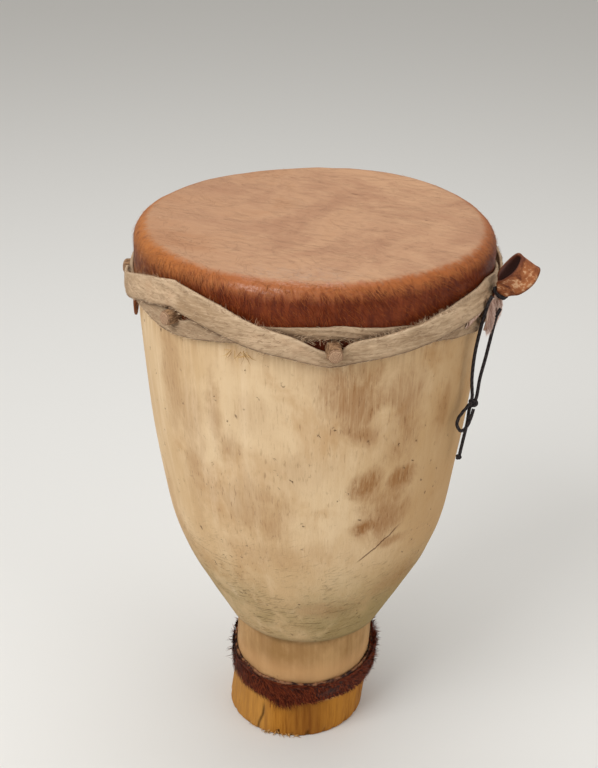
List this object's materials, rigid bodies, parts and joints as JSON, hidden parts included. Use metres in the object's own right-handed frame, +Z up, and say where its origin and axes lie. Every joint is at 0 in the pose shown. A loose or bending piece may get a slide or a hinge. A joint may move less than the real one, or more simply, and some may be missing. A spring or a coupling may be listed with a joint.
{
  "type": "ceremonial ritual drum",
  "caption": "Hollow carved goblet drum with a laced hide head, wooden pegs, a hide carrying loop with a tie cord, and a band of fur round its foot.",
  "frame": {"origin": "on the standing plane, under the middle of the part's footprint; the head's own axis stands 7.1 mm to -X and 5.3 mm to +Y of it", "axes": "+Z up, the pictured front faces -Y, the carrying loop is at +X"},
  "size_m": [0.3578, 0.3445, 0.5237],
  "materials": {
    "carved_wood": "bare carved wood, pale, stained and scratched",
    "peg_wood": "whittled, dark and dry",
    "head_hide": "raw hide, shaved on top, red-brown hair at the edge",
    "strap_hide": "grey-beige short hair",
    "loop_hide": "red-brown hide, worn smooth",
    "foot_fur": "dark red-brown fur",
    "black_cord": "braided black cord"
  },
  "bodies": {
    "root": {"drum_shell": "carved_wood", "drumhead_hide": "head_hide", "lacing_strap": "strap_hide", "peg_1": "peg_wood", "peg_2": "peg_wood", "peg_3": "peg_wood", "peg_4": "peg_wood", "peg_5": "peg_wood", "peg_6": "peg_wood", "peg_7": "peg_wood", "carrying_loop": "loop_hide", "foot_fur_band": "foot_fur", "tie_cord_binding": "black_cord", "tie_cord_left": "black_cord", "tie_cord_right": "black_cord", "tie_cord_knot": "black_cord", "tie_cord_bow": "black_cord", "tie_cord_tail": "black_cord", "tie_cord_end_knot": "black_cord"}
  },
  "joints": []
}
